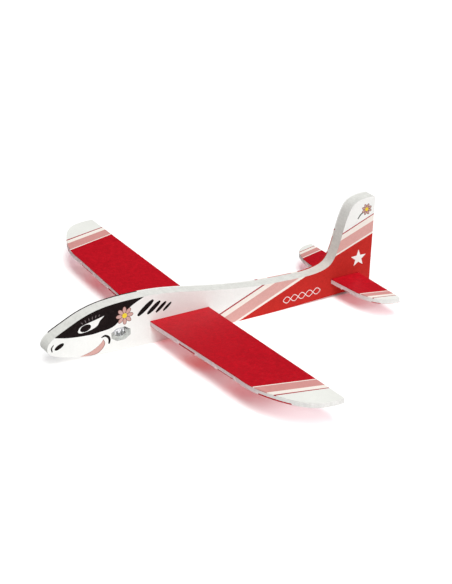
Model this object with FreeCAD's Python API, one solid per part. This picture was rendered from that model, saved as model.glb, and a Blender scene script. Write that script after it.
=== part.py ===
import FreeCAD, Part

import math
import os

# Slot-together chuck glider cut from printed foam sheet.
# Frame: +X towards the nose, +Y towards the port wing tip, +Z up, in millimetres.
# The origin is under the middle of the model, on the surface that the belly rests on.

Vector = FreeCAD.Vector

# Stock: one thick board for the fuselage, one thin sheet for wing and tailplane.
# Each thickness includes the printed film laminated to both faces.
BOARD = 9.0
SHEET = 3.0
FILM = 0.1

# Clearance of the two slots around the sheet that slides through them
SLOT_GAP = 0.15
SLOT_END_GAP = 0.2

# Fuselage side view
LENGTH = 212.0
NOSE_X = LENGTH / 2
TAIL_X = -LENGTH / 2
NOSE_TIP_Z = 11.2
FIN_TOP_Z = 58.0
BELLY_FRONT_X = 45.0
BELLY_REAR_X = -30.0
RUDDER_FOOT_X = -103.5
RUDDER_FOOT_Z = 2.6
FIN_CORNER_R = 1.0

# Wing: both panels rise from a crease on the centre plane
WING_SPAN = 279.4
WING_LE_X = 42.9
WING_TE_X = 5.7
WING_TOP_Z = 13.5
DIHEDRAL = math.radians(1.24)
WING_TIP_START_Y = 92.0
WING_SWEEP = 0.0457

# Tailplane: one flat panel
TAIL_SPAN = 92.0
TAIL_LE_X = -76.8
TAIL_TE_X = -95.8
TAIL_TOP_Z = 12.05
TAIL_TIP_START_Y = 27.5
TAIL_SWEEP = 0.088

# Tabs left on the leading edges by the die that cuts the sheet
NIB_LENGTH = 1.6
NIB_REACH = 0.45
NIB_ROOT = 0.3
NIB_TOP_DEPTH = 1.4
WING_NIBS_Y = (33.0, 51.0, 70.0, 88.0)
TAIL_NIBS_Y = (14.0, 24.0)

# Nose ballast: an eight-sided pocket through the board
POCKET_X = 61.4
POCKET_Z = 10.4
POCKET_HALF_X = 6.4
POCKET_HALF_Z = 4.2
POCKET_SIDES = 8
COVER_DEPTH = 1.15
COVER_WALL = 0.3
COVER_FLOOR_SCALE = 0.62
COVER_RIM_SCALE = 0.93
SLUG_SCALE = 0.985
SLUG_FACE_SCALE = 0.62
SLUG_BEVEL = 0.65
SLUG_TO_COVER = 0.1

HALF_BOARD = BOARD / 2
HALF_CORE = HALF_BOARD - FILM
SLUG_HALF = HALF_BOARD - COVER_DEPTH - SLUG_TO_COVER


def spline(points):
    """Smooth edge through the points."""
    curve = Part.BSplineCurve()
    curve.interpolate(points)
    return curve.toShape()


def line(a, b):
    return Part.LineSegment(a, b).toShape()


def side_point(x, z):
    return Vector(x, 0, z)


def plan_point(x, y):
    return Vector(x, y, 0)


# ---------------------------------------------------------------- fuselage

def fuselage_top():
    """Upper outline: nose, humped back, slim boom, then up the fin to its tip."""
    places = (
        (NOSE_X, NOSE_TIP_Z), (105.3, 13.6), (102.6, 16.5), (95.0, 20.6), (86.0, 24.7),
        (74.0, 28.1), (55.0, 29.4), (36.7, 28.6), (11.4, 24.6), (-21.0, 19.6),
        (-52.0, 17.7), (-68.8, 18.4), (-75.6, 21.0), (-80.1, 27.7), (-84.0, 39.6),
        (-87.4, 49.1), (-91.6, 55.4), (-98.0, 57.8), (TAIL_X + FIN_CORNER_R, FIN_TOP_Z),
    )
    return spline([side_point(x, z) for x, z in places])


def fin_corner():
    bulge = FIN_CORNER_R * math.cos(math.pi / 4)
    centre_x = TAIL_X + FIN_CORNER_R
    centre_z = FIN_TOP_Z - FIN_CORNER_R
    start = side_point(centre_x, FIN_TOP_Z)
    middle = side_point(centre_x - bulge, centre_z + bulge)
    end = side_point(TAIL_X, centre_z)
    return Part.Arc(start, middle, end).toShape()


def fuselage_face():
    """Side outline of the board, on the centre plane."""
    rudder_top = side_point(TAIL_X, FIN_TOP_Z - FIN_CORNER_R)
    rudder_foot = side_point(RUDDER_FOOT_X, RUDDER_FOOT_Z)
    belly_rear = side_point(BELLY_REAR_X, 0)
    belly_front = side_point(BELLY_FRONT_X, 0)
    boom_under = [rudder_foot, side_point(-76.0, 1.4), side_point(-52.0, 0.5), belly_rear]
    chin = [
        belly_front, side_point(68.4, 0.9), side_point(83.7, 2.2), side_point(95.6, 4.4),
        side_point(102.8, 7.1), side_point(105.4, 9.4), side_point(NOSE_X, NOSE_TIP_Z),
    ]
    edges = [
        fuselage_top(),
        fin_corner(),
        line(rudder_top, rudder_foot),
        spline(boom_under),
        line(belly_rear, belly_front),
        spline(chin),
    ]
    return Part.Face(Part.Wire(edges))


def octagon_face(scale, y):
    """Eight-sided outline of the ballast pocket, scaled about its middle, at height y."""
    step = 2 * math.pi / POCKET_SIDES
    corners = []
    for i in range(POCKET_SIDES + 1):
        angle = (i + 0.5) * step
        x = POCKET_X + scale * POCKET_HALF_X * math.cos(angle)
        z = POCKET_Z + scale * POCKET_HALF_Z * math.sin(angle)
        corners.append(Vector(x, y, z))
    return Part.Face(Part.makePolygon(corners))


def through_board(face):
    """A cutter with the face's outline that passes right through the board."""
    face.translate(Vector(0, -BOARD, 0))
    return face.extrude(Vector(0, 2 * BOARD, 0))


def slot_cutter(te_x, le_x, bottom_z, top_z):
    x0 = te_x - SLOT_END_GAP
    x1 = le_x + SLOT_END_GAP
    z0 = bottom_z - SLOT_GAP
    z1 = top_z + SLOT_GAP
    return Part.makeBox(x1 - x0, 2 * BOARD, z1 - z0, Vector(x0, -BOARD, z0))


def wing_crease_z():
    """Top of the wing on the centre plane, below its height at the fuselage sides."""
    return WING_TOP_Z - HALF_BOARD * math.tan(DIHEDRAL)


def fuselage_cutters():
    """Wing slot, tailplane slot and ballast pocket.

    The wing slot is taller than the sheet by the rise of a panel across the board,
    because the inclined panel crosses it as the wing is pushed out sideways.
    """
    rise = HALF_BOARD * math.tan(DIHEDRAL)
    crease = wing_crease_z()
    wing = slot_cutter(WING_TE_X, WING_LE_X, crease - rise - SHEET, crease + rise)
    tail = slot_cutter(TAIL_TE_X, TAIL_LE_X, TAIL_TOP_Z - SHEET, TAIL_TOP_Z)
    pocket = through_board(octagon_face(1.0, 0))
    return [wing, tail, pocket]


def fuselage_layer(y0, y1):
    """One layer of the board between two heights, with every cut-out."""
    face = fuselage_face()
    face.translate(Vector(0, y0, 0))
    return face.extrude(Vector(0, y1 - y0, 0)).cut(fuselage_cutters())


# ---------------------------------------------------------------- ballast

def tapered(scale0, y0, scale1, y1):
    """Solid between two scaled octagons."""
    wires = [octagon_face(scale0, y0).OuterWire, octagon_face(scale1, y1).OuterWire]
    return Part.makeLoft(wires, True, True)


def nose_ballast():
    """Steel slug with bevelled faces that fills the pocket between the two covers."""
    shoulder = SLUG_HALF - SLUG_BEVEL
    middle = octagon_face(SLUG_SCALE, -shoulder).extrude(Vector(0, 2 * shoulder, 0))
    port = tapered(SLUG_SCALE, shoulder, SLUG_FACE_SCALE, SLUG_HALF)
    starboard = tapered(SLUG_SCALE, -shoulder, SLUG_FACE_SCALE, -SLUG_HALF)
    return middle.fuse([port, starboard]).removeSplitter()


def ballast_cover(side):
    """Clear dish pressed into the pocket over the slug; side is 1 for port.

    Its rim is level with the print and its floor lies just above the slug's face.
    """
    rim = side * HALF_BOARD
    floor = side * (HALF_BOARD - COVER_DEPTH)
    hollow_floor = floor + side * COVER_WALL
    inner_floor_scale = COVER_FLOOR_SCALE + COVER_RIM_SCALE - 1
    dish = tapered(1.0, rim, COVER_FLOOR_SCALE, floor)
    return dish.cut(tapered(COVER_RIM_SCALE, rim, inner_floor_scale, hollow_floor))


# ---------------------------------------------------------------- wing and tailplane

def panel_plan(te_x, le_x, sweep, tip_start, tip):
    """Plan outline of a symmetrical panel with a swept leading edge and curved tips.

    tip lists the port tip's points after the straight leading edge, ending on the
    trailing edge.
    """
    shoulder = (le_x - sweep * (tip_start - HALF_BOARD), tip_start)

    def half(sign):
        points = [plan_point(x, sign * y) for x, y in (shoulder, *tip)]
        root = plan_point(le_x, sign * HALF_BOARD)
        return [line(root, points[0]), spline(points)]

    port = half(1)
    starboard = half(-1)
    tip_y = tip[-1][1]
    trailing = line(plan_point(te_x, tip_y), plan_point(te_x, -tip_y))
    root = line(plan_point(le_x, -HALF_BOARD), plan_point(le_x, HALF_BOARD))
    ordered = Part.sortEdges([root, *port, trailing, *starboard])[0]
    return Part.Face(Part.Wire(ordered))


def wing_plan():
    half_span = WING_SPAN / 2
    tip = (
        (37.0, 109.0), (32.9, 120.2), (26.8, 131.0), (20.6, 136.9), (14.0, 139.2),
        (WING_TE_X, half_span),
    )
    return panel_plan(WING_TE_X, WING_LE_X, WING_SWEEP, WING_TIP_START_Y, tip)


def tail_plan():
    half_span = TAIL_SPAN / 2
    tip = ((-81.0, 35.4), (-84.1, 41.2), (-88.7, 44.7), (TAIL_TE_X, half_span))
    return panel_plan(TAIL_TE_X, TAIL_LE_X, TAIL_SWEEP, TAIL_TIP_START_Y, tip)


def nib(le_x, sweep, y):
    """Plan outline of a tab on the leading edge at span position y."""
    edge_x = le_x - sweep * (abs(y) - HALF_BOARD)
    corner = Vector(edge_x - NIB_ROOT, y - NIB_LENGTH / 2, 0)
    return Part.makePlane(NIB_ROOT + NIB_REACH, NIB_LENGTH, corner)


def nibs(le_x, sweep, stations):
    """Plan outlines of all tabs of a panel, the same on both sides."""
    return [nib(le_x, sweep, sign * y) for y in stations for sign in (1, -1)]


def panel_core(layer, plan, tabs):
    """Foam between the two films, with its tabs, which reach part of the way up the edge."""
    bottom = SHEET - FILM
    tab_solids = [layer(tab, NIB_TOP_DEPTH, bottom) for tab in tabs]
    return layer(plan, FILM, bottom).fuse(tab_solids).removeSplitter()


def wing_layer(plan, depth0, depth1):
    """The part of the creased wing sheet between two depths below its top surface."""
    reach = WING_SPAN
    rise = reach * math.tan(DIHEDRAL)
    top = wing_crease_z() - depth0
    bottom = wing_crease_z() - depth1
    section = [
        Vector(0, 0, top), Vector(0, reach, top + rise), Vector(0, reach, bottom + rise),
        Vector(0, 0, bottom), Vector(0, -reach, bottom + rise), Vector(0, -reach, top + rise),
        Vector(0, 0, top),
    ]
    band = Part.Face(Part.makePolygon(section)).extrude(Vector(LENGTH, 0, 0))
    return plan.extrude(Vector(0, 0, LENGTH)).common(band)


def tail_layer(plan, depth0, depth1):
    """The part of the flat tailplane sheet between two depths below its top surface."""
    face = plan.copy()
    face.translate(Vector(0, 0, TAIL_TOP_Z - depth1))
    return face.extrude(Vector(0, 0, depth1 - depth0))


# ---------------------------------------------------------------- the pieces

def pieces():
    wing = wing_plan()
    tail = tail_plan()
    wing_nibs = nibs(WING_LE_X, WING_SWEEP, WING_NIBS_Y)
    tail_nibs = nibs(TAIL_LE_X, TAIL_SWEEP, TAIL_NIBS_Y)
    core_bottom = SHEET - FILM
    return {
        "fuselage_core": fuselage_layer(-HALF_CORE, HALF_CORE),
        "fuselage_print_port": fuselage_layer(HALF_CORE, HALF_BOARD),
        "fuselage_print_starboard": fuselage_layer(-HALF_BOARD, -HALF_CORE),
        "nose_ballast": nose_ballast(),
        "ballast_cover_port": ballast_cover(1),
        "ballast_cover_starboard": ballast_cover(-1),
        "wing_core": panel_core(wing_layer, wing, wing_nibs),
        "wing_print_top": wing_layer(wing, 0, FILM),
        "wing_print_bottom": wing_layer(wing, core_bottom, SHEET),
        "tailplane_core": panel_core(tail_layer, tail, tail_nibs),
        "tailplane_print_top": tail_layer(tail, 0, FILM),
        "tailplane_print_bottom": tail_layer(tail, core_bottom, SHEET),
    }


def single_solid(name, shape):
    """The shape's one solid; every piece of this model is a single closed solid."""
    if len(shape.Solids) != 1 or not shape.isValid():
        raise RuntimeError(f"{name}: {len(shape.Solids)} solids, valid {shape.isValid()}")
    return shape.Solids[0]


def main():
    os.makedirs("parts", exist_ok=True)
    for name, shape in pieces().items():
        solid = single_solid(name, shape)
        box = solid.BoundBox
        solid.exportStep(f"parts/{name}.step")
        print(f"{name}: {solid.Volume:.1f} mm3, x {box.XMin:.2f} to {box.XMax:.2f}, "
              f"y {box.YMin:.2f} to {box.YMax:.2f}, z {box.ZMin:.2f} to {box.ZMax:.2f}")


main()
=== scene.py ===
import math

import bmesh
import bpy
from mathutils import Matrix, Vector
from mathutils.geometry import delaunay_2d_cdt


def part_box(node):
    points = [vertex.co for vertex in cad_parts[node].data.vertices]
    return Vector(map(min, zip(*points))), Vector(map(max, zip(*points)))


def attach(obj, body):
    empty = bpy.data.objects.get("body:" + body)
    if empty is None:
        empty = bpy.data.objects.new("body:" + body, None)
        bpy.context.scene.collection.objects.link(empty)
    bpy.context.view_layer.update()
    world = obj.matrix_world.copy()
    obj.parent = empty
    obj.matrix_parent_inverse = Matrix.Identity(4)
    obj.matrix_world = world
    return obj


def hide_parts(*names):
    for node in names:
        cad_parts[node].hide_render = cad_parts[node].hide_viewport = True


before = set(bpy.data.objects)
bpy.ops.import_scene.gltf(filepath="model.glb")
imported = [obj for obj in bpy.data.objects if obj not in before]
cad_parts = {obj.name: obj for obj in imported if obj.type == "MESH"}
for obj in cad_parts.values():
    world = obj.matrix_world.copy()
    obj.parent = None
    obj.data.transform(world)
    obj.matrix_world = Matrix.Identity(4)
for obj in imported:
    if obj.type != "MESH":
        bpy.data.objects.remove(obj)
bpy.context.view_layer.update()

# A hand-launched toy glider cut from printed foam sheet. The foam cores and the ballast are
# the CAD nodes. Each printed film is built here, cut into its inks, in place of its CAD node,
# and so is each clear dish over the ballast, which gets its pleats.
# Places are in millimetres in the frame's axes: x to the nose, y to port, z up.

MM = 0.001

# ------------------------------------------------------------------ colours (linear)

WHITE = (0.71, 0.71, 0.69)
SHEET_WHITE = (0.65, 0.655, 0.62)
CREAM = (0.71, 0.655, 0.60)
RED = (0.385, 0.0045, 0.0115)
BODY_RED = (0.415, 0.022, 0.018)
PINK = (0.555, 0.305, 0.280)
SHEET_PINK = (0.505, 0.235, 0.218)
STRIPE_RED = (0.33, 0.035, 0.045)
BLACK = (0.011, 0.0075, 0.0075)
BROWN = (0.16, 0.07, 0.06)
LASH = (0.13, 0.11, 0.11)
PETAL = (0.50, 0.31, 0.28)
FIN_PETAL = (0.45, 0.27, 0.24)
YELLOW = (0.70, 0.52, 0.05)
SMILE = (0.53, 0.31, 0.28)
STEM = (0.03, 0.03, 0.028)
BOARD_FOAM = (0.60, 0.60, 0.57)
SHEET_FOAM = (0.66, 0.65, 0.63)
# Next: sheet foam with a painted red glow, used under the red print
SHEET_FOAM_PAINTED_RED_GLOW = (0.65, 0.50, 0.50)
# Next: board foam with a painted red glow and painted shade, used in the foot of the fin
BOARD_FOAM_PAINTED_GLOW_AND_SHADE = (0.57, 0.52, 0.48)
METAL = (0.80, 0.81, 0.86)
# Painted dark reflection on the ballast metal
METAL_PAINTED_DARK_REFLECTION = (0.05, 0.05, 0.065)
CLEAR = (0.78, 0.81, 0.77)
FLOOR = (0.90, 0.90, 0.90)

# Tint of the light that passes through each print and through the foam
RED_GLOW = (0.45, 0.175, 0.20)
BAR_GLOW = (0.75, 0.06, 0.08)
THIN_BAR_GLOW = (0.86, 0.58, 0.62)
PALE_GLOW = (0.94, 0.92, 0.93)
SHEET_GLOW = (0.78, 0.66, 0.70)
PINK_GLOW = (0.66, 0.44, 0.48)
DARK_GLOW = (0.3, 0.3, 0.3)
BACK_GLOW = (1.0, 1.0, 1.0)
BOARD_GLOW = (0.8, 0.8, 0.8)
FOAM_GLOW = (0.92, 0.90, 0.90)

# ------------------------------------------------------------------ node helpers


class Graph:
    """A material's node tree, with short calls for the nodes used here."""

    def __init__(self, name):
        self.material = bpy.data.materials.new(name)
        self.material.use_nodes = True
        self.tree = self.material.node_tree
        self.tree.nodes.clear()
        self.place = self.add("ShaderNodeTexCoord").outputs["Object"]

    def add(self, kind, **settings):
        node = self.tree.nodes.new(kind)
        for key, value in settings.items():
            setattr(node, key, value)
        return node

    def feed(self, socket, value):
        if isinstance(value, bpy.types.NodeSocket):
            self.tree.links.new(value, socket)
        else:
            socket.default_value = value

    def stretched(self, stretch):
        """Object coordinates scaled per axis: a small factor draws a texture out."""
        node = self.add("ShaderNodeMapping")
        self.feed(node.inputs["Vector"], self.place)
        node.inputs["Scale"].default_value = stretch
        return node.outputs["Vector"]

    def noise(self, scale, detail=2.0, roughness=0.5, place=None):
        node = self.add("ShaderNodeTexNoise")
        self.feed(node.inputs["Vector"], place or self.place)
        self.feed(node.inputs["Scale"], scale)
        self.feed(node.inputs["Detail"], detail)
        self.feed(node.inputs["Roughness"], roughness)
        return node.outputs["Fac"]

    def cells(self, scale, feature="F1", output="Distance"):
        node = self.add("ShaderNodeTexVoronoi", feature=feature)
        self.feed(node.inputs["Vector"], self.place)
        self.feed(node.inputs["Scale"], scale)
        return node.outputs[output]

    def remap(self, value, low, high, to_low, to_high):
        node = self.add("ShaderNodeMapRange")
        self.feed(node.inputs["Value"], value)
        self.feed(node.inputs["From Min"], low)
        self.feed(node.inputs["From Max"], high)
        self.feed(node.inputs["To Min"], to_low)
        self.feed(node.inputs["To Max"], to_high)
        return node.outputs["Result"]

    def math(self, operation, a, b=0.0):
        node = self.add("ShaderNodeMath", operation=operation)
        self.feed(node.inputs[0], a)
        self.feed(node.inputs[1], b)
        return node.outputs[0]

    def product(self, *factors):
        result = factors[0]
        for factor in factors[1:]:
            result = self.math("MULTIPLY", result, factor)
        return result

    def axis(self, name):
        node = self.add("ShaderNodeSeparateXYZ")
        self.feed(node.inputs[0], self.place)
        return node.outputs[name]

    def shade(self, colour, factor):
        """The colour multiplied by a factor that varies over the surface."""
        node = self.add("ShaderNodeVectorMath", operation="SCALE")
        self.feed(node.inputs[0], colour)
        self.feed(node.inputs["Scale"], factor)
        return node.outputs[0]

    def between(self, factor, a, b):
        node = self.add("ShaderNodeMix", data_type="RGBA")
        self.feed(node.inputs["Factor"], factor)
        node.inputs["A"].default_value = (*a, 1)
        node.inputs["B"].default_value = (*b, 1)
        return node.outputs["Result"]

    def bump(self, height, distance, after=None):
        node = self.add("ShaderNodeBump")
        self.feed(node.inputs["Height"], height)
        self.feed(node.inputs["Distance"], distance)
        if after is not None:
            self.feed(node.inputs["Normal"], after)
        return node.outputs["Normal"]

    def finish(self, glow=None, **values):
        """Adds the shader; glow is the tint of light that passes through the surface."""
        principled = self.add("ShaderNodeBsdfPrincipled")
        for key, value in values.items():
            self.feed(principled.inputs[key.replace("_", " ")], value)
        shader = principled.outputs[0]
        if glow is not None:
            path = self.add("ShaderNodeLightPath")
            clear = self.add("ShaderNodeBsdfTransparent")
            clear.inputs["Color"].default_value = (*glow, 1)
            mix = self.add("ShaderNodeMixShader")
            self.feed(mix.inputs[0], path.outputs["Is Shadow Ray"])
            self.feed(mix.inputs[1], shader)
            self.feed(mix.inputs[2], clear.outputs[0])
            shader = mix.outputs[0]
        output = self.add("ShaderNodeOutputMaterial")
        self.feed(output.inputs["Surface"], shader)
        return self.material


# ------------------------------------------------------------------ materials

# Texture scales: how many features lie along a metre
BEADS_PER_M = 520
GRAIN_PER_M = 1300
MOTTLE_PER_M = 420
BROAD_PER_M = 40
PORES_PER_M = 3000
BLOTCHES_PER_M = 260
DIE_MARKS_PER_M = 750
DENTS_PER_M = 300
REFLECTION_STREAKS_PER_M = 360
DARK_REFLECTIONS_PER_M = 280
SCRATCHES_PER_M = 2600
WRINKLES_PER_M = 700
HAZE_PER_M = 1100
PAPER_PER_M = 25

# Bump heights in metres
DIMPLE_DEPTH = 0.00005
GRAIN_DEPTH = 0.00002
BEAD_DEPTH = 0.00015
DIE_MARK_DEPTH = 0.00006
DENT_DEPTH = 0.0004
WRINKLE_DEPTH = 0.0004

# Where a red glow, as of light that has passed a red print, is painted on the foam, in metres
BOARD_PAINTED_GLOW_X = (-0.050, -0.068)
BOARD_PAINTED_GLOW_Z = (0.026, 0.046)
WING_PAINTED_GLOW_Y = (0.100, 0.120)
TAIL_PAINTED_GLOW_Y = (0.028, 0.040)


def ink(name, colour, glow, roughness=0.55, grain=0.05, gloss=0.01):
    """Printed plastic film: speckle in the colour, foam beads showing through as dimples."""
    g = Graph(name)
    speckle = g.noise(GRAIN_PER_M, 3.0, 0.75)
    mottle = g.noise(MOTTLE_PER_M, 2.0)
    broad = g.noise(BROAD_PER_M, 2.0)
    tone = g.product(
        g.remap(speckle, 0.32, 0.68, 1 - grain, 1 + grain),
        g.remap(mottle, 0.32, 0.68, 1 - grain / 2, 1 + grain / 2),
        g.remap(broad, 0.3, 0.7, 0.97, 1.03),
    )
    dimples = g.bump(g.cells(BEADS_PER_M, "SMOOTH_F1"), DIMPLE_DEPTH)
    return g.finish(
        glow,
        Base_Color=g.shade(colour, tone),
        Roughness=g.remap(broad, 0.3, 0.7, roughness - 0.05, roughness + 0.05),
        Specular_IOR_Level=gloss,
        Normal=g.bump(speckle, GRAIN_DEPTH, after=dimples),
    )


def foam_tone(g, streaks):
    """Brightness of cut foam: bead seams, pores, blotches and the marks of the die."""
    return g.product(
        g.remap(g.cells(BEADS_PER_M, "DISTANCE_TO_EDGE"), 0.0, 0.10, 0.94, 1.0),
        g.remap(g.noise(PORES_PER_M, 3.0, 0.6), 0.3, 0.7, 0.96, 1.04),
        g.remap(g.noise(BLOTCHES_PER_M, 2.0), 0.3, 0.7, 0.95, 1.05),
        g.remap(streaks, 0.3, 0.7, 0.965, 1.03),
    )


def foam_normal(g, streaks):
    """Relief of cut foam: each bead a small dome, under the marks of the die."""
    domes = g.bump(g.cells(BEADS_PER_M), BEAD_DEPTH)
    return g.bump(streaks, DIE_MARK_DEPTH, after=domes)


def board_foam():
    """Thick board: fine lines across its cut edge, and in the foot of the fin a painted red glow
    and painted shade, darker and redder.
    """
    g = Graph("board_foam")
    streaks = g.noise(DIE_MARKS_PER_M, 2.0, 0.6, g.stretched((1, 0.06, 1)))
    aft = g.remap(g.axis("X"), *BOARD_PAINTED_GLOW_X, 0.0, 1.0)
    low = g.remap(g.axis("Z"), *BOARD_PAINTED_GLOW_Z, 1.0, 0.0)
    # Corner at the foot of the fin: painted red glow and painted shade mixed into the foam colour
    colour = g.between(g.product(aft, low), BOARD_FOAM, BOARD_FOAM_PAINTED_GLOW_AND_SHADE)
    return g.finish(
        BOARD_GLOW,
        Base_Color=g.shade(colour, foam_tone(g, streaks)),
        Roughness=0.9,
        Specular_IOR_Level=0.1,
        Normal=foam_normal(g, streaks),
    )


def sheet_foam(name, glow_fade):
    """Thin sheet, painted with a red glow under the red print; the last argument is the span over
    which the painted glow ends.
    """
    g = Graph(name)
    streaks = g.noise(DIE_MARKS_PER_M, 2.0, 0.6, g.stretched((1, 1, 0.08)))
    outboard = g.remap(g.math("ABSOLUTE", g.axis("Y")), *glow_fade, 0.0, 1.0)
    # Inboard colour: painted red glow of light that has passed the red print
    colour = g.between(outboard, SHEET_FOAM_PAINTED_RED_GLOW, SHEET_FOAM)
    return g.finish(
        FOAM_GLOW,
        Base_Color=g.shade(colour, foam_tone(g, streaks)),
        Roughness=0.9,
        Specular_IOR_Level=0.1,
        Normal=foam_normal(g, streaks),
    )


def crumpled_metal():
    """Slug with a bright skin of sharp dents, and dark patches in its colour: painted dark
    reflections.
    """
    g = Graph("ballast_metal")
    dents = g.cells(DENTS_PER_M, "F1", "Color")
    reflection_streaks = g.noise(REFLECTION_STREAKS_PER_M, 1.0)
    dark_reflections = g.noise(DARK_REFLECTIONS_PER_M, 1.0)
    scratches = g.noise(SCRATCHES_PER_M, 4.0, 0.7)
    # Dark patches painted into the colour: painted dark reflections on the crumpled skin
    dark = g.remap(g.product(dark_reflections, reflection_streaks), 0.23, 0.25, 1.0, 0.0)
    colour = g.between(dark, METAL, METAL_PAINTED_DARK_REFLECTION)
    return g.finish(
        Base_Color=g.shade(colour, g.remap(scratches, 0.3, 0.7, 0.9, 1.1)),
        Metallic=1.0,
        Roughness=g.remap(scratches, 0.3, 0.7, 0.14, 0.3),
        Normal=g.bump(dents, DENT_DEPTH),
    )


def clear_plastic(name, alpha, dim, bright):
    """Clear sheet, drawn down over the slug; alpha is how much of it is seen. Its colour is
    scaled between dim and bright along the wrinkles, which on the walls is painted shade of the
    recess and its pleats.
    """
    g = Graph(name)
    wrinkles = g.noise(WRINKLES_PER_M, 2.0)
    haze = g.noise(HAZE_PER_M, 3.0)
    return g.finish(
        Base_Color=g.shade(CLEAR, g.remap(wrinkles, 0.3, 0.7, dim, bright)),
        Alpha=alpha,
        Roughness=g.remap(haze, 0.3, 0.7, 0.08, 0.2),
        Normal=g.bump(wrinkles, WRINKLE_DEPTH),
    )


def floor_paper():
    """White paper under the model, very slightly mottled."""
    g = Graph("floor_paper")
    return g.finish(
        Base_Color=g.shade(FLOOR, g.remap(g.noise(PAPER_PER_M, 3.0), 0.3, 0.7, 0.99, 1.01)),
        Roughness=0.9,
        Specular_IOR_Level=0.05,
    )


INKS = {
    "back": ink("film_back", WHITE, BACK_GLOW, grain=0.02),
    "white": ink("print_white", WHITE, PALE_GLOW, grain=0.02),
    "sheet_white": ink("print_sheet_white", SHEET_WHITE, SHEET_GLOW, grain=0.02),
    "red": ink("print_red", RED, RED_GLOW, roughness=0.45, grain=0.20, gloss=0.08),
    "bar_red": ink("print_bar_red", RED, BAR_GLOW, grain=0.16),
    "thin_red": ink("print_thin_red", RED, THIN_BAR_GLOW, grain=0.16),
    "body_red": ink("print_body_red", BODY_RED, RED_GLOW, grain=0.10),
    "cream": ink("print_cream", CREAM, SHEET_GLOW, grain=0.02),
    "pink": ink("print_pink", PINK, PINK_GLOW, grain=0.05),
    "sheet_pink": ink("print_sheet_pink", SHEET_PINK, PINK_GLOW, grain=0.05),
    "stripe_red": ink("print_stripe_red", STRIPE_RED, RED_GLOW, grain=0.1),
    "black": ink("print_black", BLACK, DARK_GLOW, grain=0.35),
    "brown": ink("print_brown", BROWN, DARK_GLOW, grain=0.1),
    "lash": ink("print_lash", LASH, DARK_GLOW, grain=0.1),
    "petal": ink("print_petal", PETAL, PALE_GLOW),
    "fin_petal": ink("print_fin_petal", FIN_PETAL, PALE_GLOW),
    "yellow": ink("print_yellow", YELLOW, PALE_GLOW),
    "smile": ink("print_smile", SMILE, PALE_GLOW),
    "stem": ink("print_stem", STEM, DARK_GLOW),
}


# ------------------------------------------------------------------ shapes of the print

def along(a, b, t):
    return (a[0] + (b[0] - a[0]) * t, a[1] + (b[1] - a[1]) * t)


def band(front, rear, reach=0.25):
    """Area between two lines, each a pair of points; both run past their ends by reach."""
    a = along(*front, -reach)
    b = along(*front, 1 + reach)
    c = along(*rear, 1 + reach)
    d = along(*rear, -reach)
    return [a, b, c, d]


def smooth(points, steps=8):
    """Catmull-Rom curve through the points."""
    ends = [points[0], *points, points[-1]]
    curve = []
    for i in range(len(points) - 1):
        p0, p1, p2, p3 = ends[i : i + 4]
        for k in range(steps):
            t = k / steps
            curve.append(tuple(
                0.5 * (2 * b + (c - a) * t + (2 * a - 5 * b + 4 * c - d) * t * t
                       + (3 * b - a - 3 * c + d) * t ** 3)
                for a, b, c, d in zip(p0, p1, p2, p3)
            ))
    curve.append(tuple(points[-1]))
    return curve


FINEST_PEN = 0.05


def stroke(points, widths, steps=8):
    """Area of a pen line through the points, with a width at each of them."""
    line = smooth(points, steps)
    pen = [w for w, _ in smooth([(w, 0) for w in widths], steps)]
    left, right = [], []
    for i, (x, z) in enumerate(line):
        ahead = line[min(i + 1, len(line) - 1)]
        behind = line[max(i - 1, 0)]
        dx, dz = ahead[0] - behind[0], ahead[1] - behind[1]
        size = math.hypot(dx, dz)
        half = max(pen[i], FINEST_PEN) / 2
        nx, nz = -dz / size * half, dx / size * half
        left.append((x + nx, z + nz))
        right.append((x - nx, z - nz))
    return left + right[::-1]


def ellipse(centre, radii, tilt=0.0, sides=32):
    c, s = math.cos(math.radians(tilt)), math.sin(math.radians(tilt))
    ring = []
    for i in range(sides):
        angle = 2 * math.pi * i / sides
        u, v = radii[0] * math.cos(angle), radii[1] * math.sin(angle)
        ring.append((centre[0] + u * c - v * s, centre[1] + u * s + v * c))
    return ring


def star(centre, radius, inner=0.42, points=5, turn=90.0):
    ring = []
    for i in range(2 * points):
        r = radius if i % 2 == 0 else radius * inner
        angle = math.radians(turn + 180.0 * i / points)
        ring.append((centre[0] + r * math.cos(angle), centre[1] + r * math.sin(angle)))
    return ring


PETALS = 8
PETAL_MIDDLE = 0.62
PETAL_OUTLINE = 0.3


def flower(centre, reach, petal_ink, heart, turn=0.0, plump=0.235):
    """Daisy: outlined petals round a yellow heart. Returns (ink, area) layers."""
    layers = []
    middle = PETAL_MIDDLE * reach
    length = (1 - PETAL_MIDDLE) * reach
    width = plump * reach
    for inset, colour in ((0.0, "brown"), (PETAL_OUTLINE, petal_ink)):
        for i in range(PETALS):
            angle = turn + 360.0 * i / PETALS
            u, v = math.cos(math.radians(angle)), math.sin(math.radians(angle))
            place = (centre[0] + u * middle, centre[1] + v * middle)
            size = (length - inset, width - inset)
            layers.append((colour, ellipse(place, size, angle, 18)))
    layers.append(("yellow", ellipse(centre, (heart, heart), 0.0, 20)))
    return layers


# ------------------------------------------------------------------ fuselage print

# Each line runs from the belly or leading edge back to the top or trailing edge
BOOM_STRIPE = ((-1.5, 7.7), (-29.5, 18.9))
BOOM_STRIPE_LOW = ((-2.1, 7.0), (-30.3, 18.3))
BOOM_PINK_TOP = ((-4.8, 4.7), (-37.3, 18.0))
BOOM_PINK_LOW = ((-11.9, 0.5), (-54.9, 17.9))
BOOM_RED_EDGE = ((-13.6, -0.1), (-56.6, 16.8))
FIN_STRIPE = ((-84.6, 39.5), (-106.1, 47.7))
FIN_STRIPE_LOW = ((-85.0, 38.9), (-106.2, 47.1))
FIN_PINK_TOP = ((-83.6, 35.2), (-105.5, 43.1))
FIN_PINK_LOW = ((-81.6, 27.7), (-105.3, 36.4))
FIN_RED_EDGE = ((-80.5, 26.3), (-105.2, 35.2))


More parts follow.
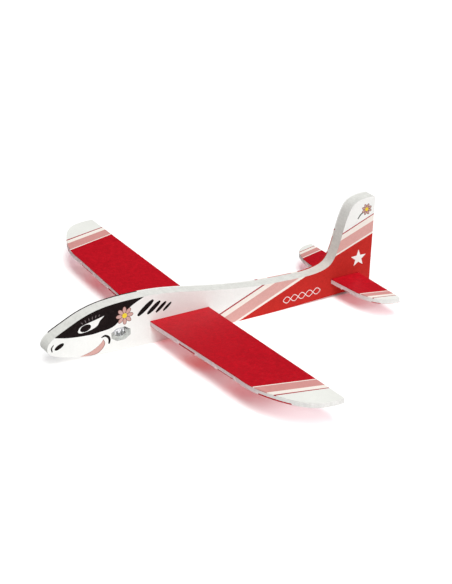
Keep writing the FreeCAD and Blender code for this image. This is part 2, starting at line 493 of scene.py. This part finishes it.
def fuselage_layers():
    """Inks of one side of the fuselage, in the order they are laid down."""
    boom_low, boom_high = along(*BOOM_RED_EDGE, -0.1), along(*BOOM_RED_EDGE, 1.1)
    fin_front, fin_rear = along(*FIN_RED_EDGE, -0.1), along(*FIN_RED_EDGE, 1.2)
    red = [boom_low, boom_high, (-70.0, 24.0), fin_front, fin_rear, (-112, 34), (-112, -3)]
    layers = [
        ("cream", band(BOOM_STRIPE_LOW, BOOM_RED_EDGE)),
        ("cream", band(FIN_STRIPE_LOW, FIN_RED_EDGE)),
        ("body_red", red),
        ("pink", band(BOOM_PINK_TOP, BOOM_PINK_LOW)),
        ("stripe_red", band(BOOM_STRIPE, BOOM_STRIPE_LOW, 0.7)),
        ("pink", band(FIN_PINK_TOP, FIN_PINK_LOW)),
        ("stripe_red", band(FIN_STRIPE, FIN_STRIPE_LOW)),
    ]
    layers += mask()
    layers += face()
    layers += flower((58.9, 20.7), 5.4, "petal", heart=1.5)
    layers += vents()
    layers += fin_flower()
    layers += marks()
    return layers


def mask():
    """Black mask round the eye, from its lower edge up past the top of the board."""
    lower = smooth([
        (100.8, 17.2), (92.3, 15.3), (80.3, 14.2), (74.2, 14.5), (68.1, 15.1), (64.2, 16.7),
        (61.2, 19.5), (59.3, 22.0), (56.7, 24.2), (53.0, 26.4), (48.0, 28.6), (46.2, 29.6),
    ])
    above = [(46.2, 34.0), (74.0, 34.0), (102.0, 24.0), (103.4, 18.5)]
    return [("black", lower + above)]


LASHES = 6


def face():
    """A plain cartoon face: almond eye with short lashes, nostril, smile and cheek line."""
    lid_high = smooth([
        (87.4, 17.9), (86.2, 19.8), (83.6, 20.9), (80.4, 21.6), (76.0, 22.5), (71.2, 23.6),
    ])
    lid_low = smooth([
        (71.2, 23.6), (74.0, 21.1), (75.6, 18.7), (79.0, 17.2), (84.2, 16.4), (86.8, 16.8),
        (87.4, 17.9),
    ])
    nostril = ellipse((98.8, 11.6), (3.1, 1.3), -25.0, 24)
    snout_line = stroke([(102.0, 13.5), (103.4, 11.7), (103.1, 9.4)], (0.4, 0.85, 0.6), 5)
    smile_top = smooth([(87.2, 2.6), (80.4, 3.9), (75.2, 6.5), (72.2, 9.2)])
    smile_low = smooth([(72.2, 9.2), (71.6, 6.7), (73.9, 3.7), (78.2, 2.0), (87.2, 2.6)])
    lips_top = smooth([(87.6, 2.5), (80.3, 4.1), (75.0, 6.75), (72.1, 9.6)])
    lips_low = smooth([(72.1, 9.6), (71.3, 6.6), (73.7, 3.45), (78.1, 1.75), (87.6, 2.5)])
    cheek = [(73.4, 10.9), (71.2, 11.5), (69.3, 10.4), (68.5, 8.6), (68.9, 6.2)]
    layers = [
        ("white", lid_high[:-1] + lid_low[:-1]),
        ("black", ellipse((82.75, 18.8), (3.35, 2.0), -10.0)),
        ("black", nostril),
        ("black", snout_line),
        ("brown", lips_top + lips_low[1:-1]),
        ("smile", smile_top + smile_low[1:-1]),
        ("black", stroke(cheek, (0.6, 1.2, 1.4, 1.4, 1.0), 6)),
    ]
    for i in range(LASHES):
        t = i / (LASHES - 1)
        x, z = 84.4 - 9.8 * t, 21.5 + 2.3 * t
        lean, length = 1.2 - 2.0 * t, 1.2 + 0.8 * math.sin(math.pi * t)
        lash = [(x, z), (x + 0.3 * lean, z + 0.6 * length), (x + lean, z + length)]
        layers.append(("lash", stroke(lash, (0.25, 0.55, 0.15), 4)))
    return layers


def vents():
    """Four slanting strokes behind the mask, each shorter and finer than the last."""
    strokes = (
        ((51.3, 18.3), (40.4, 26.5), 2.9), ((45.2, 18.0), (36.2, 24.8), 2.5),
        ((39.8, 17.9), (32.6, 23.6), 2.0), ((35.2, 17.9), (29.4, 22.4), 1.6),
    )
    layers = []
    for low, high, width in strokes:
        points = [along(low, high, t) for t in (0.04, 0.1, 0.35, 0.7, 0.88, 0.95)]
        pen = [width * w for w in (0.3, 0.62, 1.0, 0.95, 0.65, 0.3)]
        layers.append(("black", stroke(points, pen, 4)))
    return layers


def fin_flower():
    """Small daisy with its stem, at the top of the fin."""
    stem = stroke([(-98.6, 49.6), (-96.2, 48.4), (-94.2, 46.0)], (0.6, 0.8, 0.6), 5)
    bloom = flower((-100.3, 50.9), 3.6, "fin_petal", heart=1.15, turn=22.0, plump=0.24)
    return [("stem", stem)] + bloom


CORD_FRONT = (-43.6, 5.6)
CORD_REAR = (-69.2, 6.9)
CORD_SWING = 1.9
CORD_TURNS = 2.5
CORD_STEPS = 40
CORD_WIDTH = 0.35


def marks():
    """A white star on the fin, and a fine white twisted cord that runs back along the boom."""
    layers = [("white", star((-95.4, 21.2), 5.4))]
    for phase in (0.0, math.pi):
        strand = []
        for i in range(CORD_STEPS + 1):
            t = i / CORD_STEPS
            x, z = along(CORD_FRONT, CORD_REAR, t)
            strand.append((x, z + CORD_SWING * math.sin(2 * math.pi * CORD_TURNS * t + phase)))
        layers.append(("white", stroke(strand, [CORD_WIDTH] * len(strand), 2)))
    return layers


# ------------------------------------------------------------------ wing and tailplane print

def both_sides(area):
    """The area on the port panel and its mirror image, in plan."""
    return [area, [(x, -y) for x, y in area]]


def between_tips(edge):
    """Area from tip to tip, up to the edge line and its mirror image."""
    front, rear = along(*edge, -0.3), along(*edge, 1.3)
    return [front, rear, (rear[0], -rear[1]), (front[0], -front[1])]


def top_layers(red_edge, pink, stripe):
    """Upper inks of a panel: red inboard, then a pink band and a thin line near each tip."""
    layers = [("cream", between_tips(stripe[0])), ("red", between_tips(red_edge))]
    layers += [("sheet_pink", area) for area in both_sides(band(*pink))]
    layers += [("stripe_red", area) for area in both_sides(band(*stripe))]
    return layers


WING_TOP = top_layers(
    red_edge=((37.4, 104.5), (5.9, 113.5)),
    pink=(((37.2, 105.4), (5.7, 114.4)), ((35.5, 113.8), (5.4, 122.0))),
    stripe=(((33.3, 118.0), (5.2, 125.6)), ((33.7, 119.1), (5.4, 126.4))),
)
TAIL_TOP = top_layers(
    red_edge=((-79.3, 29.9), (-95.9, 34.7)),
    pink=(((-79.4, 30.7), (-95.9, 35.5)), ((-81.0, 35.4), (-96.2, 39.9))),
    stripe=(((-81.3, 38.1), (-96.2, 42.2)), ((-81.5, 38.8), (-96.2, 42.8))),
)

# Underneath, slanting red bars: ink, and from and to along the leading edge. Each pair of x is
# a line ahead of the leading edge and one behind the trailing edge, between which they run.
WING_UNDER_BARS = (("bar_red", -3.0, 8.5), ("bar_red", 31.2, 50.6), ("thin_red", 71.2, 87.2))
TAIL_UNDER_BARS = (("bar_red", -2.0, 6.0), ("thin_red", 12.0, 20.0), ("thin_red", 36.3, 42.5))
BAR_SLANT = 0.28
WING_BARS_X = (43.0, 5.0)
TAIL_BARS_X = (-76.5, -96.5)
TIP_EDGING_WIDTH = 3.0
WING_TIP_EDGING = ((37.2, 108.3), (35.1, 115.0), (32.6, 121.2), (29.2, 127.6))


def under_bars(bars, front_x, rear_x):
    """Red bars that slant outboard to the rear."""
    outboard = BAR_SLANT * (front_x - rear_x)
    layers = []
    for name, start, end in bars:
        front = ((front_x, start), (rear_x, start + outboard))
        rear = ((front_x, end), (rear_x, end + outboard))
        layers += [(name, area) for area in both_sides(band(front, rear, 0.05))]
    return layers


def tip_edging():
    """Narrow red line round the leading corner of each tip."""
    edging = stroke(WING_TIP_EDGING, [TIP_EDGING_WIDTH] * len(WING_TIP_EDGING))
    return [("thin_red", area) for area in both_sides(edging)]


WING_UNDER = under_bars(WING_UNDER_BARS, *WING_BARS_X) + tip_edging()
TAIL_UNDER = under_bars(TAIL_UNDER_BARS, *TAIL_BARS_X)


# ------------------------------------------------------------------ rolled film edges

# The die bends some stretches of an edge over the foam: from, to, height of the bend
TOP_ROLL = 0.5
WING_UNDER_ROLLS = (
    (30.6, 51.6, 0.8), (71.0, 87.6, 0.4), (108.0, 127.5, 0.75),
)
TAIL_UNDER_ROLLS = ((12.0, 20.0, 0.3), (36.3, 42.5, 0.45))
BOARD_ROLL = 1.0
BOARD_ROLL_START_Z = 9.0
BOARD_ROLL_RAMP = 3.0
ROLL_REACH = 0.04
ROLL_RAMP = 0.4
ON_EDGE = 0.01
ROLL_END_SLACK = 0.001


def mirrored(stretches):
    return [*stretches, *[(-end, -start, height) for start, end, height in stretches]]


def roll_over_stretches(stretches, te_x):
    """Roll height at a point of a panel's outline: none on the trailing edge."""
    def height(p):
        if p[0] < te_x + ON_EDGE:
            return 0.0
        for start, end, full in stretches:
            inside = min(p[1] - start, end - p[1])
            if inside > -ROLL_END_SLACK:
                return full * min(1.0, max(0.0, inside) / ROLL_RAMP)
        return 0.0
    return height


def roll_over_board(p):
    """Roll height on the fuselage: along the upper outline, from the nose to the fin."""
    return BOARD_ROLL * min(1.0, max(0.0, (p[1] - BOARD_ROLL_START_Z) / BOARD_ROLL_RAMP))


def stretch_cuts(stretches, from_x, to_x):
    """Lines across the leading edge where a rolled stretch starts, ends or levels out."""
    cuts = []
    for start, end, _ in stretches:
        for y in (start, start + ROLL_RAMP, end - ROLL_RAMP, end):
            cuts.append(((from_x, y), (to_x, y)))
    return cuts


# ------------------------------------------------------------------ film meshes

FILM_MM = (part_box("fuselage_print_port")[1].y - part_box("fuselage_print_port")[0].y) / MM


# How closely a CAD face has to face the film's way, and when two corners are one, in mm
SAME_WAY = 0.9
MERGE_DISTANCE = 1e-4
TRIANGLES_INSIDE = 1


class BoardFace:
    """Face of the fuselage board: x and z lie in it. Side is 1 for port."""

    def __init__(self, node, side):
        low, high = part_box(node)
        self.facing = Vector((0, side, 0))
        self.side = side
        self.face_y = (high.y if side > 0 else low.y) / MM

    def flatten(self, co):
        return (round(co.x, 4), round(co.z, 4))

    def place(self, p, depth):
        return Vector((p[0], self.face_y - self.side * depth, p[1]))


class PanelFace:
    """Upper (side 1) or lower face of a panel that rises from its crease at y = 0."""

    def __init__(self, node, side):
        low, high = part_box(node)
        self.facing = Vector((0, 0, side))
        self.side = side
        rise = (high.z - low.z) / MM - FILM_MM
        self.slope = rise / (high.y / MM)
        self.crease_z = (high.z / MM - rise) if side > 0 else low.z / MM
        self.te_x = low.x / MM
        self.le_x = high.x / MM

    def flatten(self, co):
        return (round(co.x, 4), round(co.y, 4))

    def place(self, p, depth):
        return Vector((p[0], p[1], self.crease_z + self.slope * abs(p[1]) - self.side * depth))

    def crease(self):
        return ((self.te_x - 1, 0.0), (self.le_x + 1, 0.0))


def ring_area(ring):
    return 0.5 * sum(a[0] * b[1] - b[0] * a[1] for a, b in zip(ring, ring[1:] + ring[:1]))


def chained(edges):
    """Closed rings from directed edges."""
    after = dict(edges)
    found = []
    while after:
        point = next(iter(after))
        ring = []
        while point in after:
            ring.append(point)
            point = after.pop(point)
        found.append(ring)
    return found


def outlines(node, face):
    """Closed outlines, flattened, of the CAD node's flat faces that face the same way."""
    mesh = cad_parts[node].data
    edges = set()
    for polygon in mesh.polygons:
        if polygon.normal.dot(face.facing) < SAME_WAY:
            continue
        points = [face.flatten(mesh.vertices[i].co / MM) for i in polygon.vertices]
        for a, b in zip(points, points[1:] + points[:1]):
            if (b, a) in edges:
                edges.remove((b, a))
            else:
                edges.add((a, b))
    return sorted(chained(sorted(edges)), key=lambda ring: -abs(ring_area(ring)))


def cut_into_inks(rings, layers, cuts, ground):
    """Triangles inside the first ring and outside the others, each with its top ink."""
    areas = [*rings, *[area for _, area in layers]]
    areas = [area if ring_area(area) > 0 else area[::-1] for area in areas]
    points, faces, edges = [], [], []
    for area in areas:
        faces.append(list(range(len(points), len(points) + len(area))))
        points += [Vector(p) for p in area]
    for a, b in cuts:
        edges.append((len(points), len(points) + 1))
        points += [Vector(a), Vector(b)]
    corners, _, triangles, _, _, sources = delaunay_2d_cdt(
        points, edges, faces, TRIANGLES_INSIDE, MERGE_DISTANCE)
    kept = []
    for triangle, inside in zip(triangles, sources):
        if 0 not in inside or any(0 < i < len(rings) for i in inside):
            continue
        top = max(inside)
        name = layers[top - len(rings)][0] if top >= len(rings) else ground
        kept.append((triangle, name))
    return corners, kept


def outward_directions(corners, rims):
    """Direction out of the film at each corner of its rim, from the edges that meet there."""
    total = {}
    for (a, b), (_, middle) in rims.items():
        d = corners[b] - corners[a]
        n = Vector((d.y, -d.x)).normalized()
        if n.dot(corners[a] - middle) < 0:
            n = -n
        for i in (a, b):
            total[i] = total.get(i, Vector((0, 0))) + n
    return {i: n.normalized() for i, n in total.items()}


def printed_faces(bm, face, corners, kept, names):
    """Printed and glued faces of the film, and its rim: the ink and triangle at each edge."""
    used = sorted({i for triangle, _ in kept for i in triangle})

    def level(depth):
        return {i: bm.verts.new(face.place(corners[i], depth) * MM) for i in used}

    top, back = level(0.0), level(FILM_MM)
    rims = {}
    for triangle, name in kept:
        printed = bm.faces.new([top[i] for i in triangle])
        printed.normal_update()
        order = list(triangle)
        if printed.normal.dot(face.facing) < 0:
            printed.normal_flip()
            order.reverse()
        printed.material_index = names.index(name)
        bm.faces.new([back[i] for i in reversed(order)])
        middle = (corners[order[0]] + corners[order[1]] + corners[order[2]]) / 3
        for a, b in zip(order, order[1:] + order[:1]):
            if (b, a) in rims:
                del rims[(b, a)]
            else:
                rims[(a, b)] = (names.index(name), middle)
    return top, back, rims


def rim_columns(bm, face, corners, rims, top, back, roll):
    """At each rim corner, the vertices from the printed face round the bend to the glued face."""
    rings = sorted(chained(sorted(rims)), key=lambda r: -abs(ring_area([corners[i] for i in r])))
    outer = set(rings[0])
    out = outward_directions(corners, rims)
    columns = {}
    for i in {i for edge in rims for i in edge}:
        height = roll(corners[i]) if roll and i in outer else 0.0
        if height <= FILM_MM:
            columns[i] = [top[i], top[i], top[i], back[i], back[i]]
            continue
        reach = corners[i] + out[i] * ROLL_REACH
        inner = corners[i] + out[i] * ROLL_REACH * 0.1
        bends = [(reach, ROLL_REACH), (reach, height), (inner, height)]
        made = [bm.verts.new(face.place(p, depth) * MM) for p, depth in bends]
        columns[i] = [top[i], *made, back[i]]
    return columns


def rim_walls(bm, rims, columns):
    """Narrow faces that close the film's rim, each with the ink beside it."""
    for (a, b), (index, _) in rims.items():
        for k in range(len(columns[a]) - 1):
            wall = [columns[b][k], columns[a][k], columns[a][k + 1], columns[b][k + 1]]
            distinct = [v for n, v in enumerate(wall) if v is not wall[n - 1]]
            if len(distinct) > 2:
                bm.faces.new(distinct).material_index = index


def film(node, body, face, layers, ground, roll=None, cuts=()):
    """Printed film in place of a CAD film node, cut into inks, its edge rolled over.

    roll(point) is how far the film's edge is bent over the foam at a rim point.
    """
    corners, kept = cut_into_inks(outlines(node, face), layers, cuts, ground)
    names = ["back"] + sorted({name for _, name in kept})
    bm = bmesh.new()
    top, back, rims = printed_faces(bm, face, corners, kept, names)
    rim_walls(bm, rims, rim_columns(bm, face, corners, rims, top, back, roll))
    mesh = bpy.data.meshes.new(node + "_film")
    bm.to_mesh(mesh)
    bm.free()
    for name in names:
        mesh.materials.append(INKS[name])
    piece = bpy.data.objects.new(node + "_film", mesh)
    bpy.context.scene.collection.objects.link(piece)
    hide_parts(node)
    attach(piece, body)


def fuselage_film(node, side, roll=None):
    film(node, "fuselage", BoardFace(node, side), fuselage_layers(), "white", roll)


def panel_film(node, body, side, layers, stretches):
    face = PanelFace(node, side)
    middle_x = (face.te_x + face.le_x) / 2
    cuts = [face.crease(), *stretch_cuts(stretches, middle_x, face.le_x + 1)]
    roll = roll_over_stretches(stretches, face.te_x)
    film(node, body, face, layers, "sheet_white", roll, cuts)


def add_films():
    wing_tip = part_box("wing_print_top")[1].y / MM
    tail_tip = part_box("tailplane_print_top")[1].y / MM
    fuselage_film("fuselage_print_port", 1)
    fuselage_film("fuselage_print_starboard", -1, roll_over_board)
    panel_film("wing_print_top", "wing", 1, WING_TOP, [(-wing_tip, wing_tip, TOP_ROLL)])
    panel_film("wing_print_bottom", "wing", -1, WING_UNDER, mirrored(WING_UNDER_ROLLS))
    panel_film("tailplane_print_top", "tailplane", 1, TAIL_TOP,
               [(-tail_tip, tail_tip, TOP_ROLL)])
    panel_film("tailplane_print_bottom", "tailplane", -1, TAIL_UNDER,
               mirrored(TAIL_UNDER_ROLLS))


# ------------------------------------------------------------------ ballast covers

POCKET_SIDES = 8
PLEATS_PER_SIDE = 3
PLEAT = 0.10
DISH_FLOOR_SCALE = 0.62
DISH_RIM_SCALE = 0.93
DISH_WALL = 0.3
DISH_LIFT = 0.6
CLEAR_WALL_FROM = 0.35
WALL_ALPHA = 0.85
CLEAR_ALPHA = 0.12


def pocket_ring(half_x, half_z, scale, ruffle=0.0):
    """Points round the eight-sided pocket; ruffle moves every other one in and out."""
    step = 2 * math.pi / POCKET_SIDES
    stretch = scale / math.cos(step / 2)
    ring = []
    for i in range(POCKET_SIDES):
        a = Vector((math.cos((i - 0.5) * step), math.sin((i - 0.5) * step)))
        b = Vector((math.cos((i + 0.5) * step), math.sin((i + 0.5) * step)))
        for k in range(PLEATS_PER_SIDE * 2):
            p = a.lerp(b, k / (PLEATS_PER_SIDE * 2)) * stretch
            swing = 1 + ruffle * (1 if k % 2 else -1)
            ring.append(Vector((p.x * half_x * swing, p.y * half_z * swing)))
    return ring


def dish_profile(depth, ruffle):
    """Up the inside of the dish and down its outside: scale, depth and ruffle of each ring."""
    inner_floor_scale = DISH_FLOOR_SCALE + DISH_RIM_SCALE - 1
    inner_depth = depth - DISH_WALL * MM
    middle_in = (DISH_RIM_SCALE + inner_floor_scale) / 2
    middle_out = (1 + DISH_FLOOR_SCALE) / 2
    return (
        (inner_floor_scale, inner_depth, 0.0), (middle_in, inner_depth / 2, ruffle),
        (DISH_RIM_SCALE, 0.0, 0.0), (1.0, 0.0, 0.0),
        (middle_out - ruffle, depth / 2, ruffle), (DISH_FLOOR_SCALE, depth, 0.0),
    )


def ballast_dish(node, side, wall_material, floor_material):
    """Clear dish with pleated walls, in place of a CAD cover; side is 1 for port."""
    low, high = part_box(node)
    centre = (low + high) / 2
    half_x, half_z = (high.x - low.x) / 2, (high.z - low.z) / 2
    depth = high.y - low.y
    rim_y = high.y if side > 0 else low.y
    bm = bmesh.new()
    rings = []
    for scale, at_depth, swing in dish_profile(depth, PLEAT * MM / half_z):
        lift = DISH_LIFT * MM * at_depth / depth
        rings.append([
            bm.verts.new((centre.x + p.x, rim_y - side * at_depth, centre.z + p.y + lift))
            for p in pocket_ring(half_x, half_z, scale, swing)
        ])
    count = len(rings[0])
    clear_above = centre.z + CLEAR_WALL_FROM * half_z
    for inner, outer in zip(rings, rings[1:]):
        for i in range(count):
            j = (i + 1) % count
            wall = bm.faces.new([inner[i], inner[j], outer[j], outer[i]])
            wall.material_index = 1 if wall.calc_center_median().z > clear_above else 0
    for ring in (rings[0], rings[-1]):
        bm.faces.new(ring).material_index = 1
    bmesh.ops.recalc_face_normals(bm, faces=bm.faces)
    mesh = bpy.data.meshes.new(node + "_dish")
    bm.to_mesh(mesh)
    bm.free()
    mesh.materials.append(wall_material)
    mesh.materials.append(floor_material)
    piece = bpy.data.objects.new(node + "_dish", mesh)
    bpy.context.scene.collection.objects.link(piece)
    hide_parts(node)
    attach(piece, "fuselage")


def add_ballast_dishes():
    # Walls: grey, streaked along the wrinkles, as painted shade of the recess and its pleats
    wall = clear_plastic("clear_cover_wall", WALL_ALPHA, 0.40, 0.66)
    floor = clear_plastic("clear_cover_floor", CLEAR_ALPHA, 0.9, 1.1)
    ballast_dish("ballast_cover_port", 1, wall, floor)
    ballast_dish("ballast_cover_starboard", -1, wall, floor)


# ------------------------------------------------------------------ CAD nodes

def paint(node, material):
    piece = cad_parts[node]
    piece.data.materials.clear()
    piece.data.materials.append(material)


def paint_cad_nodes():
    paint("fuselage_core", board_foam())
    paint("wing_core", sheet_foam("wing_foam", WING_PAINTED_GLOW_Y))
    paint("tailplane_core", sheet_foam("tailplane_foam", TAIL_PAINTED_GLOW_Y))
    paint("nose_ballast", crumpled_metal())


# ------------------------------------------------------------------ floor, light, camera

FLOOR_HALF = 0.45
FLOOR_Z = -0.00005


def add_floor():
    mesh = bpy.data.meshes.new("floor")
    corners = [(x * FLOOR_HALF, y * FLOOR_HALF, FLOOR_Z) for x, y in
               ((-1, -1), (1, -1), (1, 1), (-1, 1))]
    mesh.from_pydata(corners, [], [(0, 1, 2, 3)])
    mesh.materials.append(floor_paper())
    floor = bpy.data.objects.new("floor", mesh)
    bpy.context.scene.collection.objects.link(floor)


TENT_LEVEL = 0.10
TENT_SWING = 0.72
BACKDROP_LEVEL = 1.1
TENT_BRIGHT_SIDE = Vector((-0.72, 0.66, 0.25)).normalized()


def add_tent():
    """Tent all round, brighter on the port side and behind; the camera sees it plain white."""
    world = bpy.data.worlds.new("white_tent")
    world.use_nodes = True
    tree = world.node_tree
    background = tree.nodes["Background"]
    background.inputs["Color"].default_value = (1, 1, 1, 1)
    coordinates = tree.nodes.new("ShaderNodeTexCoord")
    toward = tree.nodes.new("ShaderNodeVectorMath")
    toward.operation = "DOT_PRODUCT"
    toward.inputs[1].default_value = TENT_BRIGHT_SIDE
    level = tree.nodes.new("ShaderNodeMapRange")
    level.inputs["From Min"].default_value = -TENT_LEVEL / TENT_SWING
    level.inputs["To Max"].default_value = TENT_LEVEL + TENT_SWING
    tree.links.new(coordinates.outputs["Generated"], toward.inputs[0])
    tree.links.new(toward.outputs["Value"], level.inputs["Value"])
    tree.links.new(level.outputs["Result"], background.inputs["Strength"])
    backdrop = tree.nodes.new("ShaderNodeBackground")
    backdrop.inputs["Color"].default_value = (1, 1, 1, 1)
    backdrop.inputs["Strength"].default_value = BACKDROP_LEVEL
    path = tree.nodes.new("ShaderNodeLightPath")
    mix = tree.nodes.new("ShaderNodeMixShader")
    tree.links.new(path.outputs["Is Camera Ray"], mix.inputs[0])
    tree.links.new(background.outputs[0], mix.inputs[1])
    tree.links.new(backdrop.outputs[0], mix.inputs[2])
    tree.links.new(mix.outputs[0], tree.nodes["World Output"].inputs["Surface"])
    bpy.context.scene.world = world


KEY_TOWARD = Vector((0.18, 0.48, 1.0)).normalized()
KEY_DISTANCE = 5.0
KEY_WIDTH = 1.8
KEY_LENGTH = 4.0
KEY_POWER = 324.0


def add_key():
    """Long flat softbox overhead, leaning to the port side."""
    data = bpy.data.lights.new("overhead_softbox", "AREA")
    data.shape = "RECTANGLE"
    data.size = KEY_WIDTH
    data.size_y = KEY_LENGTH
    data.energy = KEY_POWER
    lamp = bpy.data.objects.new("overhead_softbox", data)
    lamp.location = KEY_TOWARD * KEY_DISTANCE
    lamp.rotation_euler = (-KEY_TOWARD).to_track_quat("-Z", "Y").to_euler()
    bpy.context.scene.collection.objects.link(lamp)


VIEW_AZIMUTH = 59.26
VIEW_ELEVATION = 24.15
VIEW_DISTANCE = 1.0396
VIEW_LENS = 113.41
AIM = (-0.00812, 0.0, 0.01774)


def add_camera():
    azimuth, elevation = math.radians(VIEW_AZIMUTH), math.radians(VIEW_ELEVATION)
    back = Vector((
        math.cos(azimuth) * math.cos(elevation),
        math.sin(azimuth) * math.cos(elevation),
        math.sin(elevation),
    ))
    data = bpy.data.cameras.new("camera")
    data.lens = VIEW_LENS
    data.clip_start, data.clip_end = 0.01, 50
    camera = bpy.data.objects.new("camera", data)
    camera.location = Vector(AIM) + back * VIEW_DISTANCE
    camera.rotation_euler = (-back).to_track_quat("-Z", "Y").to_euler()
    bpy.context.scene.collection.objects.link(camera)
    bpy.context.scene.camera = camera


add_films()
add_ballast_dishes()
paint_cad_nodes()
add_floor()
add_tent()
add_key()
add_camera()
bpy.context.scene.view_settings.view_transform = "Standard"
